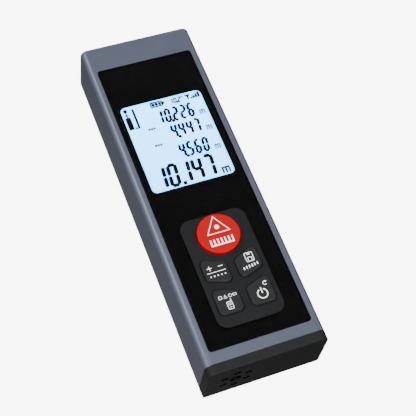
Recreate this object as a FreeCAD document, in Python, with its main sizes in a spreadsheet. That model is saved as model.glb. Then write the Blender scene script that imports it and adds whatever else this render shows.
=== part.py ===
"""Pocket laser distance meter: extruded metal case, display, keypad, optics and a two-cell battery bay.

Frame: millimetres, the meter lying on its back. +Z comes out of the front face, +Y points the way the
laser leaves, +X is to the right when the display is read. The origin is the middle of the back face.
"""

import FreeCAD, Part
import os
import Sketcher

DOC = FreeCAD.newDocument("laser_meter")

# ---------------------------------------------------------------- driving dimensions

DIMENSIONS = {
    # outside of the meter
    "case_wide": 38.0, "case_long": 120.0, "case_deep": 18.0, "wall": 1.6,
    "front_round": 2.4, "back_round": 1.0, "end_round": 1.2,
    "cap_long": 3.1, "plug_long": 1.7, "cap_soft": 0.4, "skin_gap": 0.1,
    # printed front panel and the recess it lies in
    "panel_wide": 32.3, "panel_long": 103.3, "panel_mid": -1.55, "panel_round": 1.0,
    "panel_thick": 0.8, "recess_deep": 1.0, "mask_thick": 0.15,
    # display window, display stack
    "view_wide": 27.5, "view_long": 33.2, "view_mid": 17.8, "view_round": 1.75,
    "glass_wide": 30.0, "glass_long": 36.0, "glass_top": 16.9, "glass_thick": 1.2,
    "light_thick": 1.2, "light_round": 0.3, "tray_wall": 1.0,
    "ribbon_wide": 16.0, "ribbon_long": 3.8, "ribbon_thick": 0.3,
    # keypad
    "pad_wide": 21.4, "pad_long": 36.8, "pad_mid": -29.5, "pad_round": 3.4, "pad_rise": 0.3,
    "pad_lip": 2.0, "pad_lip_top": 16.3, "pad_gap": 0.1,
    "key_gap": 0.2, "key_flange": 0.5, "key_flange_thick": 0.95, "key_base": 14.9,
    "key_inner": 1.25, "key_outer": 9.05, "key_round": 1.6, "key_rise": 0.9, "key_soft": 0.45,
    "flange_round": 0.7,
    "key_up_top": -27.85, "key_up_low": -34.95, "key_up_slope": 0.42, "key_up_low_slope": 0.335,
    "key_down_top": -37.5, "key_down_low": -44.1, "key_down_slope": 0.33, "key_down_low_slope": 0.0,
    "button_wide": 13.5, "button_mid": -18.5, "button_rise": 1.5,
    "boss_wide": 3.0, "boss_long": 0.2, "dome_wide": 4.0, "dome_high": 0.35,
    # main board
    "board_top": 13.9, "board_thick": 0.8, "board_wide": 31.0, "board_low": -54.2, "board_high": 38.0,
    # battery bay: two AAA cells
    "cell_wide": 10.5, "cell_long": 43.7, "nub_wide": 3.8, "nub_long": 0.8,
    "cell_pitch": 11.5, "cell_low": 1.8, "spring_room": 3.7,
    "bay_half": 11.4, "bay_low": -53.4, "bay_high": -4.4, "bay_wall": 1.2, "bay_top": 12.5,
    "door_half": 11.1, "door_low": -52.8, "door_high": -5.2, "door_thick": 1.4, "door_gap": 0.2,
    "tab_inner": 9.7, "tab_outer": 10.9, "tab_reach": 1.6, "tab_thick": 0.7, "tab_step": 0.25,
    "notch_inner": 9.2, "notch_outer": 11.2, "notch_high": 4.6,
    "groove_half": 6.0, "groove_inset": 2.5, "groove_pitch": 1.6, "groove_wide": 0.7, "groove_deep": 0.4,
    "ear_half": 1.8, "ear_thick": 5.0, "ear_hole_deep": 4.0,
    "spring_wide": 7.0, "wire_wide": 0.5, "spring_turns": 4, "plate_thick": 0.4, "plate_half": 10.35,
    "plate_split": 1.0, "plate_margin": 1.0,
    # optics
    "axis_high": 8.9, "lens_side": 5.5, "lens_wide": 12.5, "laser_side": -9.5, "barrel_wide": 7.0,
    "frame_half": 15.5, "frame_low": 25.0, "frame_step": 40.0, "frame_high": 56.9, "frame_gap": 0.4,
    "lens_seat": 6.0, "lens_thick": 4.0, "lens_crown": 9.0, "sensor_wide": 4.8, "sensor_long": 3.0,
    "barrel_long": 22.0, "barrel_inset": 2.0, "barrel_mouth": 5.0, "barrel_bore": 3.6, "mouth_deep": 3.0,
    "diode_wide": 5.6, "diode_rim": 1.2, "diode_can": 2.3, "diode_seat": 4.0,
    "collimator_thick": 1.8, "aperture_wide": 5.0, "lens_cover": 1.5, "tunnel_overrun": 0.5,
    "sensor_board_half": 6.5, "sensor_board_thick": 1.0, "sensor_board_low": 2.2,
    "bezel_high": 59.6, "bezel_low": 57.1, "pane_half": 12.9, "pane_high": 6.3, "pane_thick": 0.9,
    "pane_round": 1.3,
    # buzzer and its grille in the end cap
    "buzzer_side": -9.5, "buzzer_high": 8.75, "buzzer_wide": 11.0, "buzzer_thick": 2.6,
    "grille_ring": 4.3, "grille_centre": 3.7, "grille_hole": 2.3,
    # screws
    "screw_head": 2.8, "screw_head_thick": 0.9, "screw_shank": 1.4, "screw_play": 0.3,
    "board_screw_long": 3.5, "bezel_screw_long": 5.55, "head_sink": 1.1, "bezel_screw_side": 15.2,
}

# block on the underside of the board: x and y of its low corner, its width, length and thickness
CHIPS = {
    "processor": (-5, 6, 10, 10, 1.4),
    "laser_driver": (-14, 8, 5, 6, 1.1),
    "memory_chip": (8, 2, 4, 4, 1.0),
    "crystal": (8, 12, 5, 2, 1.2),
}

SOUND_HOLES = 6
DOOR_GROOVES = 5

KEYS = {
    "adjust_key": ("left", "up"),
    "memory_key": ("right", "up"),
    "function_key": ("left", "down"),
    "power_key": ("right", "down"),
}


def make_sheet():
    """Spreadsheet holding every driving dimension under a word alias."""
    sheet = DOC.addObject("Spreadsheet::Sheet", "dims")
    for row, (alias, value) in enumerate(DIMENSIONS.items(), start=1):
        sheet.set(f"A{row}", alias)
        sheet.set(f"B{row}", str(value))
        sheet.setAlias(f"B{row}", alias)
    DOC.recompute()
    return sheet


SHEET = make_sheet()


def size(formula):
    """Value of a formula of sheet aliases, such as 'case_wide/2 - wall'."""
    return float(SHEET.evalExpression(dims(formula)))


def dims(formula):
    """The same formula with each alias written as a reference to the sheet."""
    words = []
    word = ""
    for letter in formula + " ":
        if letter.isalnum() or letter == "_" or (letter == "." and word[:1].isdigit()):
            word += letter
            continue
        words.append("dims." + word if word in DIMENSIONS else word)
        words.append(letter)
        word = ""
    return "".join(words).strip()


# ---------------------------------------------------------------- sketches and features

PLANES = {"XY": ("XY_Plane", 1), "XZ": ("XZ_Plane", -1)}


def new_body(label):
    """An empty PartDesign body with a node's name."""
    body = DOC.addObject("PartDesign::Body", label)
    body.Label = label
    return body


def new_sketch(body, plane, level="0", across="0", along="0"):
    """Sketch on an origin plane, moved by formulas: level off the plane, across and along in it."""
    role, normal = PLANES[plane]
    sketch = body.newObject("Sketcher::SketchObject", "outline")
    origin_plane = [item for item in body.Origin.OriginFeatures if item.Role == role][0]
    sketch.AttachmentSupport = [(origin_plane, "")]
    sketch.MapMode = "FlatFace"
    level_formula = f"({level})" if normal > 0 else f"-({level})"
    sketch.setExpression(".AttachmentOffset.Base.x", dims(across))
    sketch.setExpression(".AttachmentOffset.Base.y", dims(along))
    sketch.setExpression(".AttachmentOffset.Base.z", dims(level_formula))
    DOC.recompute()
    return sketch


def bind(sketch, constraint, formula):
    """Add a dimension whose value follows a formula."""
    index = sketch.addConstraint(constraint)
    sketch.setExpression(f"Constraints[{index}]", dims(formula))


def pin(sketch, piece, end, across, along):
    """Hold one end point of a sketch line at two formulas from the sketch's origin."""
    bind(sketch, Sketcher.Constraint("DistanceX", -1, 1, piece, end, size(across)), across)
    bind(sketch, Sketcher.Constraint("DistanceY", -1, 1, piece, end, size(along)), along)


def draw_polygon(sketch, corners):
    """Closed outline through corners given as pairs of formulas."""
    points = [FreeCAD.Vector(size(across), size(along), 0) for across, along in corners]
    count = len(corners)
    for index in range(count):
        sketch.addGeometry(Part.LineSegment(points[index], points[(index + 1) % count]), False)
    for index in range(count):
        sketch.addConstraint(Sketcher.Constraint("Coincident", index, 2, (index + 1) % count, 1))
    for index, (across, along) in enumerate(corners):
        pin(sketch, index, 1, across, along)
    DOC.recompute()
    return sketch


def draw_rectangle(sketch, wide, high):
    """Rectangle centred on the sketch's origin."""
    right, top = f"({wide})/2", f"({high})/2"
    left, low = f"-({wide})/2", f"-({high})/2"
    return draw_polygon(sketch, [(left, low), (right, low), (right, top), (left, top)])


def draw_span(sketch, left, right, low, top):
    """Rectangle between four formulas."""
    return draw_polygon(sketch, [(left, low), (right, low), (right, top), (left, top)])


def draw_circle(sketch, wide, across="0", along="0"):
    """Circle of a given diameter, with its centre at two formulas."""
    centre = FreeCAD.Vector(size(across), size(along), 0)
    index = sketch.addGeometry(Part.Circle(centre, FreeCAD.Vector(0, 0, 1), size(wide) / 2), False)
    bind(sketch, Sketcher.Constraint("Radius", index, size(wide) / 2), f"({wide})/2")
    pin(sketch, index, 3, across, along)
    DOC.recompute()
    return sketch


def pad(body, sketch, plane, length, toward="+"):
    """Pad a sketch along the world axis of its plane."""
    feature = body.newObject("PartDesign::Pad", "pad")
    feature.Profile = sketch
    feature.setExpression("Length", dims(length))
    feature.Reversed = (toward == "-") == (PLANES[plane][1] > 0)
    DOC.recompute()
    return feature


def pocket(body, sketch, plane, depth, toward="-"):
    """Cut a sketch along the world axis of its plane, and prove that it took material away."""
    before = body.Shape.Volume
    feature = body.newObject("PartDesign::Pocket", "pocket")
    feature.Profile = sketch
    feature.setExpression("Length", dims(depth))
    feature.Reversed = (toward == "+") == (PLANES[plane][1] > 0)
    DOC.recompute()
    if body.Shape.Volume >= before:
        raise RuntimeError(f"a pocket of {body.Label} cuts nothing")
    return feature


def round_edges(body, radius, wanted):
    """Fillet the edges of the body's tip that pass a test, with the radius bound to a formula."""
    tip = body.Tip
    names = [f"Edge{index}" for index, edge in enumerate(tip.Shape.Edges, start=1) if wanted(edge)]
    if not names:
        raise RuntimeError(f"no edge of {body.Label} to round")
    feature = body.newObject("PartDesign::Fillet", "fillet")
    feature.Base = (tip, names)
    feature.setExpression("Radius", dims(radius))
    DOC.recompute()
    return feature


def runs_along(edge, axis):
    """True for a straight edge along one world axis."""
    if len(edge.Vertexes) != 2 or not isinstance(edge.Curve, Part.Line):
        return False
    return abs(getattr(edge.Curve.Direction, axis)) > 0.999


def corner_edges(axis, **limits):
    """Test for straight edges along an axis whose middle lies inside limits such as z=(low, high)."""
    def test(edge):
        return runs_along(edge, axis) and inside(edge, limits)
    return test


def edges_at(axis, level):
    """Test for edges that lie flat at one level of a world axis."""
    def test(edge):
        box = edge.BoundBox
        low, high = getattr(box, axis.upper() + "Min"), getattr(box, axis.upper() + "Max")
        return abs(low - level) < 0.001 and abs(high - level) < 0.001
    return test


def inside(edge, limits):
    """True when an edge's middle lies within every stated pair of limits."""
    centre = edge.BoundBox.Center
    return all(low <= getattr(centre, name) <= high for name, (low, high) in limits.items())


def round_block(label, wide, long, radius, low, thick, mid):
    """Plate centred on x = 0 with rounded corners in plan, standing on the level 'low'."""
    body = new_body(label)
    sketch = draw_rectangle(new_sketch(body, "XY", low, along=mid), wide, long)
    pad(body, sketch, "XY", thick)
    round_edges(body, radius, corner_edges("z"))
    return body


def cut_round_window(body, wide, long, radius, top, depth, mid):
    """Cut a window with rounded corners downwards from the level 'top'."""
    sketch = draw_rectangle(new_sketch(body, "XY", top, along=mid), wide, long)
    pocket(body, sketch, "XY", depth)
    half_wide, half_long, middle = size(wide) / 2, size(long) / 2, size(mid)

    def window_corner(edge):
        centre = edge.BoundBox.Center
        beside = abs(abs(centre.x) - half_wide) < 0.001 and abs(abs(centre.y - middle) - half_long) < 0.001
        return runs_along(edge, "z") and beside
    round_edges(body, radius, window_corner)


def cylinder(label, wide, long, x="0", y="0", z="0", axis="z"):
    """Part cylinder along +Z or +Y from a point given by formulas."""
    shape = DOC.addObject("Part::Cylinder", label)
    shape.Label = label
    shape.setExpression("Radius", dims(f"({wide})/2"))
    shape.setExpression("Height", dims(long))
    place(shape, x, y, z)
    if axis == "y":
        turn_about_x(shape, "-90")
    return shape


def box(label, low, high):
    """Part box between two corners given by formulas."""
    shape = DOC.addObject("Part::Box", label)
    shape.Label = label
    for name, start, stop in zip(("Length", "Width", "Height"), low, high):
        shape.setExpression(name, dims(f"({stop}) - ({start})"))
    place(shape, *low)
    return shape


def place(shape, x, y, z):
    """Bind a shape's position to three formulas."""
    for name, formula in zip("xyz", (x, y, z)):
        shape.setExpression(f".Placement.Base.{name}", dims(formula))


def turn_about_x(shape, angle):
    """Turn a shape about the X axis by an angle in degrees."""
    shape.setExpression(".Placement.Rotation.Axis.x", "1")
    shape.setExpression(".Placement.Rotation.Axis.z", "0")
    shape.setExpression(".Placement.Rotation.Angle", angle)


def group(label, members):
    """Identical separate solids kept together as one node."""
    compound = DOC.addObject("Part::Compound", label)
    compound.Label = label
    compound.Links = members
    return compound


# ---------------------------------------------------------------- case and covers

def make_housing():
    """Extruded metal tube with the panel recess, display and keypad openings and the battery opening."""
    body = new_body("housing")
    section = new_sketch(body, "XZ", "case_long/2", along="case_deep/2")
    draw_rectangle(section, "case_wide", "case_deep")
    pad(body, section, "XZ", "case_long - cap_long", "-")
    deep = size("case_deep")
    round_edges(body, "front_round", corner_edges("y", z=(deep - 1, deep + 1)))
    round_edges(body, "back_round", corner_edges("y", z=(-1, 1)))
    round_edges(body, "end_round", edges_at("y", size("case_long/2")))
    bore = new_sketch(body, "XZ", "case_long/2", along="case_deep/2")
    draw_rectangle(bore, "case_wide - 2*wall", "case_deep - 2*wall")
    pocket(body, bore, "XZ", "case_long", "-")
    cut_round_window(body, "panel_wide + 2*skin_gap", "panel_long + 2*skin_gap", "panel_round + skin_gap",
                     "case_deep", "recess_deep", "panel_mid")
    cut_round_window(body, "glass_wide + 4*skin_gap", "glass_long + 4*skin_gap", "panel_round/2",
                     "case_deep", "wall + skin_gap", "view_mid")
    cut_round_window(body, "pad_wide + 4*skin_gap", "pad_long + 4*skin_gap", "pad_round + 2*skin_gap",
                     "case_deep", "wall + skin_gap", "pad_mid")
    opening = new_sketch(body, "XY")
    draw_span(opening, "-door_half - door_gap", "door_half + door_gap",
              "door_low - door_gap", "door_high + door_gap")
    pocket(body, opening, "XY", "wall + skin_gap", "+")
    levels = ("door_low - door_gap", "door_high + door_gap")
    corners = [(side*size("door_half + door_gap"), size(y)) for side in (-1, 1) for y in levels]
    round_edges(body, "panel_round", on_corners(corners))
    return body


def make_front_panel():
    """Clear cover sheet, flush with the case, open over the keypad."""
    body = round_block("front_panel", "panel_wide", "panel_long", "panel_round",
                       "case_deep - panel_thick", "panel_thick", "panel_mid")
    cut_round_window(body, "pad_wide + 2*pad_gap", "pad_long + 2*pad_gap", "pad_round + pad_gap",
                     "case_deep", "panel_thick", "pad_mid")
    return body


def make_panel_mask():
    """Black print under the cover sheet, open over the display and the keypad."""
    body = round_block("panel_mask", "panel_wide", "panel_long", "panel_round",
                       "case_deep - recess_deep", "mask_thick", "panel_mid")
    cut_round_window(body, "pad_wide + 2*pad_gap", "pad_long + 2*pad_gap", "pad_round + pad_gap",
                     "case_deep", "recess_deep", "pad_mid")
    cut_round_window(body, "view_wide", "view_long", "view_round", "case_deep", "recess_deep", "view_mid")
    return body


def make_end_cap():
    """Black end cap with a plug that enters the tube and a ring of sound holes."""
    body = new_body("end_cap")
    low = "-case_long/2"
    section = new_sketch(body, "XZ", low, along="case_deep/2")
    draw_rectangle(section, "case_wide", "case_deep")
    pad(body, section, "XZ", "cap_long", "+")
    deep = size("case_deep")
    round_edges(body, "front_round", corner_edges("y", z=(deep - 1, deep + 1)))
    round_edges(body, "back_round", corner_edges("y", z=(-1, 1)))
    round_edges(body, "cap_soft", edges_at("y", size(low)))
    joint_level = "-case_long/2 + cap_long"
    plug = new_sketch(body, "XZ", joint_level, along="case_deep/2")
    draw_rectangle(plug, "case_wide - 2*wall - 2*skin_gap", "case_deep - 2*wall - 2*skin_gap")
    pad(body, plug, "XZ", "plug_long", "+")
    hollow = new_sketch(body, "XZ", "-case_long/2 + wall", along="case_deep/2")
    draw_rectangle(hollow, "case_wide - 4*wall", "case_deep - 4*wall + 2*skin_gap")
    pocket(body, hollow, "XZ", "case_long", "+")
    holes = new_sketch(body, "XZ", low, across="buzzer_side", along="buzzer_high")
    draw_circle(holes, "grille_centre")
    for step in range(SOUND_HOLES):
        angle = f"{step * 360 / SOUND_HOLES:g}"
        draw_circle(holes, "grille_hole", f"grille_ring*sin({angle})", f"grille_ring*cos({angle})")
    pocket(body, holes, "XZ", "cap_long", "+")
    return body


def make_battery_door():
    """Flat door in the back of the case, with two tabs at one end and ribbed finger grip at the other."""
    body = new_body("battery_door")
    plate = draw_span(new_sketch(body, "XY"), "-door_half", "door_half", "door_low", "door_high")
    pad(body, plate, "XY", "door_thick")
    round_edges(body, "panel_round - door_gap", corner_edges("z"))
    for side in (-1, 1):
        block = new_sketch(body, "XY", "door_thick")
        edges = sorted((f"{side}*tab_inner", f"{side}*tab_outer"), key=size)
        draw_span(block, edges[0], edges[1], "door_high - 2*tab_reach", "door_high")
        pad(body, block, "XY", "tab_thick + tab_step")
        tab = new_sketch(body, "XY", "door_thick + tab_step")
        draw_span(tab, edges[0], edges[1], "door_high - tab_reach", "door_high + tab_reach")
        pad(body, tab, "XY", "tab_thick")
    for step in range(DOOR_GROOVES):
        groove = new_sketch(body, "XY")
        level = f"door_low + groove_inset + {step}*groove_pitch"
        draw_span(groove, "-groove_half", "groove_half", level, f"{level} + groove_wide")
        pocket(body, groove, "XY", "groove_deep", "+")
    return body


# ---------------------------------------------------------------- display

def make_display_glass():
    """Liquid crystal glass sandwich under the window."""
    return round_block("display_glass", "glass_wide", "glass_long", "light_round",
                       "glass_top - glass_thick", "glass_thick", "view_mid")


def make_backlight():
    """Light guide plate behind the display glass."""
    return round_block("backlight", "glass_wide", "glass_long", "light_round",
                       "glass_top - glass_thick - light_thick", "light_thick", "view_mid")


def make_display_frame():
    """Shallow frame that holds the light guide and the glass on the board."""
    body = round_block("display_frame", "glass_wide + 2*tray_wall + 2*skin_gap",
                       "glass_long + 2*tray_wall + 2*skin_gap", "panel_round", "board_top",
                       "pad_lip_top - board_top", "view_mid")
    inner = new_sketch(body, "XY", "pad_lip_top", along="view_mid")
    draw_rectangle(inner, "glass_wide + 2*skin_gap", "glass_long + 2*skin_gap")
    pocket(body, inner, "XY", "pad_lip_top - (glass_top - glass_thick - light_thick)")
    return body


def make_display_ribbon():
    """Flexible strip from the glass edge to its socket on the board."""
    body = new_body("display_ribbon")
    stop = "view_mid - glass_long/2 - tray_wall - 2*skin_gap"
    strip = new_sketch(body, "XY", "board_top")
    draw_span(strip, "-ribbon_wide/2", "ribbon_wide/2", f"{stop} - ribbon_long", stop)
    pad(body, strip, "XY", "ribbon_thick")
    return body


# ---------------------------------------------------------------- keypad

def key_corners(side, row, grow):
    """Corners of a small key, grown by a formula: upright sides between a sloping top and low edge."""
    sign = -1 if side == "left" else 1
    top, low = f"key_{row}_top", f"key_{row}_low"
    slope, low_slope = f"key_{row}_slope", f"key_{row}_low_slope"
    rise = f"({grow})*sqrt(1 + {slope}*{slope})"
    drop = f"({grow})*sqrt(1 + {low_slope}*{low_slope})"
    inner, outer = f"(key_inner - ({grow}))", f"(key_outer + ({grow}))"
    corners = [
        (inner, f"{low} - {drop} + {low_slope}*({inner} - key_inner)"),
        (outer, f"{low} - {drop} + {low_slope}*({outer} - key_inner)"),
        (outer, f"{top} + {rise} + {slope}*({outer} - key_inner)"),
        (inner, f"{top} + {rise} + {slope}*({inner} - key_inner)"),
    ]
    placed = [(f"{sign}*{across}", along) for across, along in corners]
    return placed if sign > 0 else placed[::-1]


def key_centre(side, row):
    """Formulas of the point under the middle of a small key."""
    sign = -1 if side == "left" else 1
    return f"{sign}*(key_inner + key_outer)/2", f"(key_{row}_top + key_{row}_low)/2 + 1.2"


def make_keypad_mat():
    """Rubber mat: a lip under the case wall, a plateau in its opening and a guide hole for each key."""
    body = round_block("keypad_mat", "pad_wide + 2*pad_lip", "pad_long + 2*pad_lip", "pad_round",
                       "board_top", "pad_lip_top - board_top", "pad_mid")
    plateau = new_sketch(body, "XY", "pad_lip_top", along="pad_mid")
    draw_rectangle(plateau, "pad_wide", "pad_long")
    pad(body, plateau, "XY", "case_deep + pad_rise - pad_lip_top")
    above_lip = (size("pad_lip_top") + 0.5, size("case_deep") + 1)
    round_edges(body, "pad_round", corner_edges("z", z=above_lip))
    round_edges(body, "pad_rise - 0.05", edges_at("z", size("case_deep + pad_rise")))
    cut_key_room(body, "key_gap", "key_round", "pad_rise + case_deep")
    cut_key_room(body, "key_flange + key_gap", "flange_round", "key_base + key_flange_thick + skin_gap")
    return body


def cut_key_room(body, grow, corner, top):
    """Cut the red button's and the four keys' outlines, grown by a formula, below a level."""
    depth = f"{top} - board_top"
    button = draw_circle(new_sketch(body, "XY", top, along="button_mid"), f"button_wide + 2*({grow})")
    pocket(body, button, "XY", depth)
    for side, row in KEYS.values():
        outline = draw_polygon(new_sketch(body, "XY", top), key_corners(side, row, grow))
        pocket(body, outline, "XY", depth)
        corners = [(size(across), size(along)) for across, along in key_corners(side, row, grow)]
        round_edges(body, f"{corner} + key_gap", on_corners(corners))


def on_corners(corners):
    """Test for upright edges that stand on any of the given plan points."""
    def test(edge):
        if not runs_along(edge, "z"):
            return False
        centre = edge.BoundBox.Center
        return any(abs(centre.x - x) < 0.001 and abs(centre.y - y) < 0.001 for x, y in corners)
    return test


def make_key(label, side, row):
    """Small key: cap with rounded corners, a stop flange under the mat and a boss over its dome."""
    body = new_body(label)
    flange = draw_polygon(new_sketch(body, "XY", "key_base"), key_corners(side, row, "key_flange"))
    pad(body, flange, "XY", "key_flange_thick")
    round_edges(body, "flange_round", corner_edges("z"))
    level = "key_base + key_flange_thick"
    outline = draw_polygon(new_sketch(body, "XY", level), key_corners(side, row, "0"))
    pad(body, outline, "XY", f"case_deep + key_rise - ({level})")
    corners = [(size(across), size(along)) for across, along in key_corners(side, row, "0")]
    round_edges(body, "key_round", on_corners(corners))
    round_edges(body, "key_soft", edges_at("z", size("case_deep + key_rise")))
    add_boss(body, *key_centre(side, row))
    return body


def add_boss(body, across, along):
    """Short round boss under a key or the button."""
    boss = draw_circle(new_sketch(body, "XY", "key_base", across, along), "boss_wide")
    pad(body, boss, "XY", "boss_long", "-")


def make_measure_button():
    """Round measuring button with the same flange and boss as the keys."""
    body = new_body("measure_button")
    flange = draw_circle(new_sketch(body, "XY", "key_base", along="button_mid"), "button_wide + 2*key_flange")
    pad(body, flange, "XY", "key_flange_thick")
    level = "key_base + key_flange_thick"
    cap = draw_circle(new_sketch(body, "XY", level, along="button_mid"), "button_wide")
    pad(body, cap, "XY", f"case_deep + button_rise - ({level})")
    round_edges(body, "key_soft", edges_at("z", size("case_deep + button_rise")))
    add_boss(body, "0", "button_mid")
    return body


def make_switch_domes():
    """Metal snap domes on the board, one under each key and the button."""
    spots = [("0", "button_mid")] + [key_centre(side, row) for side, row in KEYS.values()]
    domes = [cylinder("dome", "dome_wide", "dome_high", x, y, "board_top") for x, y in spots]
    return group("switch_domes", domes)


# ---------------------------------------------------------------- electronics

def make_main_board():
    """Circuit board that carries the display, the keypad and the electronics."""
    body = new_body("main_board")
    outline = new_sketch(body, "XY", "board_top - board_thick")
    draw_span(outline, "-board_wide/2", "board_wide/2", "board_low", "board_high")
    pad(body, outline, "XY", "board_thick")
    round_edges(body, "panel_round", corner_edges("z"))
    holes = new_sketch(body, "XY", "board_top")
    for x, y in board_screw_spots():
        draw_circle(holes, "screw_shank + screw_play", x, y)
    pocket(body, holes, "XY", "board_thick")
    return body


def board_screw_spots():
    """Formulas of the two board screws beside the ribbon."""
    y = "view_mid - glass_long/2 - tray_wall - 3.2"
    return [("-board_wide/2 + 2", y), ("board_wide/2 - 2", y)]


def make_board_chips():
    """Processor, laser driver, memory and crystal on the underside of the board."""
    top = "board_top - board_thick"
    chips = []
    for label, (x, y, wide, long, thick) in CHIPS.items():
        low, high = (f"{x}", f"{y}", f"{top} - {thick}"), (f"{x} + {wide}", f"{y} + {long}", top)
        chips.append(box(label, low, high))
    return group("board_chips", chips)


def join(label, base, tool):
    """Two overlapping shapes made one."""
    joined = DOC.addObject("Part::Fuse", label)
    joined.Base = base
    joined.Tool = tool
    return joined


def make_board_screws():
    """Two pan-head screws that hold the board to the battery tray."""
    screws = []
    for x, y in board_screw_spots():
        head = cylinder("screw_head", "screw_head", "screw_head_thick", x, y, "board_top")
        stem = cylinder("screw_stem", "screw_shank", "board_screw_long + screw_head_thick/2", x, y,
                        "board_top - board_screw_long")
        screws.append(join("screw", head, stem))
    return group("board_screws", screws)


# ---------------------------------------------------------------- battery bay

def make_battery_tray():
    """Plastic tray, open at the back, that forms the walls and ceiling of the battery bay."""
    body = new_body("battery_tray")
    top = "board_top - board_thick"
    block = new_sketch(body, "XY", "wall + skin_gap")
    draw_span(block, "-bay_half - bay_wall", "bay_half + bay_wall",
              "bay_low - bay_wall", "bay_high + bay_wall")
    pad(body, block, "XY", f"{top} - wall - skin_gap")
    bay = new_sketch(body, "XY", "bay_top")
    draw_span(bay, "-bay_half", "bay_half", "bay_low", "bay_high")
    pocket(body, bay, "XY", "bay_top")
    for side in (-1, 1):
        notch = new_sketch(body, "XY")
        edges = sorted((f"{side}*notch_inner", f"{side}*notch_outer"), key=size)
        draw_span(notch, edges[0], edges[1], "bay_high - skin_gap", "bay_high + bay_wall + skin_gap")
        pocket(body, notch, "XY", "notch_high", "+")
    for side in (-1, 1):
        ear = new_sketch(body, "XY", f"{top} - ear_thick")
        edges = sorted((f"{side}*(bay_half + bay_wall)", f"{side}*(board_wide/2)"), key=size)
        y = board_screw_spots()[0][1]
        draw_span(ear, edges[0], edges[1], f"{y} - ear_half", f"{y} + ear_half")
        pad(body, ear, "XY", "ear_thick")
    holes = new_sketch(body, "XY", top)
    for x, y in board_screw_spots():
        draw_circle(holes, "screw_shank", x, y)
    pocket(body, holes, "XY", "ear_hole_deep")
    return body


def make_cell(label, side, start, nub_start, nub_end):
    """AAA cell: a can and a positive nub on one axis along Y, each from its own start."""
    x = f"{side}*cell_pitch/2"
    z = "cell_low + cell_wide/2"
    body = new_body(label)
    can = draw_circle(new_sketch(body, "XZ", start, x, z), "cell_wide")
    pad(body, can, "XZ", "cell_long", "+")
    round_edges(body, "wire_wide", lambda edge: isinstance(edge.Curve, Part.Circle))
    nub = draw_circle(new_sketch(body, "XZ", nub_start, x, z), "nub_wide")
    pad(body, nub, "XZ", "nub_long", nub_end)
    return body


def make_cells():
    """Two cells, head to tail, each pressed against a plate by the spring at its flat end."""
    left_start = "bay_low + plate_thick + spring_room"
    right_start = "bay_low + plate_thick + nub_long"
    return [
        make_cell("battery_left", -1, left_start, f"{left_start} + cell_long", "+"),
        make_cell("battery_right", 1, right_start, right_start, "-"),
    ]


def make_contacts(label, y, sides):
    """Steel contact plates on an end wall of the bay, one solid for each side listed."""
    plates = []
    low_z, high_z = "cell_low + plate_margin", "bay_top - plate_margin"
    for low_x, high_x in sides:
        plates.append(box("plate", (low_x, y, low_z), (high_x, f"{y} + plate_thick", high_z)))
    return group(label, plates)


def make_battery_springs():
    """Coil spring behind the flat end of each cell."""
    coil_radius = "(spring_wide - wire_wide)/2"
    rise = "(spring_room - wire_wide - skin_gap)"
    springs = []
    spots = [
        ("-cell_pitch/2", "bay_low + plate_thick"),
        ("cell_pitch/2", "bay_high - plate_thick - spring_room"),
    ]
    for x, y in spots:
        helix = DOC.addObject("Part::Helix", "coil")
        helix.setExpression("Radius", dims(coil_radius))
        helix.setExpression("Height", dims(rise))
        helix.setExpression("Pitch", dims(f"{rise}/spring_turns"))
        wire = DOC.addObject("Part::Circle", "wire")
        wire.setExpression("Radius", dims("wire_wide/2"))
        place(wire, coil_radius, "0", "0")
        turn_about_x(wire, "90")
        sweep = DOC.addObject("Part::Sweep", "spring")
        sweep.Sections = [wire]
        sweep.Spine = (helix, [])
        sweep.Solid = True
        sweep.Frenet = True
        place(sweep, x, f"{y} + (wire_wide + skin_gap)/2", "cell_low + cell_wide/2")
        turn_about_x(sweep, "-90")
        springs.append(sweep)
    return group("battery_springs", springs)


# ---------------------------------------------------------------- sound and optics

def make_buzzer():
    """Flat round buzzer behind the sound holes."""
    return cylinder("buzzer", "buzzer_wide", "buzzer_thick", "buzzer_side",
                    "-case_long/2 + wall + skin_gap", "buzzer_high", "y")


def make_optics_frame():
    """Rigid frame with the receiver's conical tunnel and the bore for the laser barrel."""
    body = new_body("optics_frame")
    step_level = "board_top - board_thick - frame_gap"
    low_block = new_sketch(body, "XZ", "frame_low")
    draw_span(low_block, "-frame_half", "frame_half", "wall + frame_gap", step_level)
    pad(body, low_block, "XZ", "frame_high - frame_low", "+")
    high_block = new_sketch(body, "XZ", "frame_step")
    draw_span(high_block, "-frame_half", "frame_half", step_level, "case_deep - wall - frame_gap")
    pad(body, high_block, "XZ", "frame_high - frame_step", "+")
    add_tunnel(body)
    barrel = new_sketch(body, "XZ", "frame_high", "laser_side", "axis_high")
    draw_circle(barrel, "barrel_wide + skin_gap")
    pocket(body, barrel, "XZ", "frame_high - frame_low", "-")
    screws = new_sketch(body, "XZ", "frame_high")
    for x, z in bezel_screw_spots():
        draw_circle(screws, "screw_shank", x, z)
    pocket(body, screws, "XZ", "bezel_screw_long", "-")
    return body


def add_tunnel(body):
    """Turn the receiver tunnel: a seat for the lens, a cone behind it and the sensor's window."""
    sketch = new_sketch(body, "XY", "axis_high", "lens_side")
    sensor_radius, lens_radius = "(sensor_wide + 0.4)/2", "(lens_wide + skin_gap)/2"
    corners = [
        ("0", "frame_low - tunnel_overrun"), (sensor_radius, "frame_low - tunnel_overrun"),
        (sensor_radius, "frame_low + sensor_long + tunnel_overrun"),
        ("lens_wide/2 - 1", "frame_high - lens_seat"), (lens_radius, "frame_high - lens_seat"),
        (lens_radius, "frame_high + tunnel_overrun"), ("0", "frame_high + tunnel_overrun"),
    ]
    before = body.Shape.Volume
    draw_polygon(sketch, corners)
    groove = body.newObject("PartDesign::Groove", "tunnel")
    groove.Profile = sketch
    groove.ReferenceAxis = (sketch, ["V_Axis"])
    groove.Angle = 360
    DOC.recompute()
    if body.Shape.Volume >= before:
        raise RuntimeError("the tunnel cuts nothing")


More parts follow.
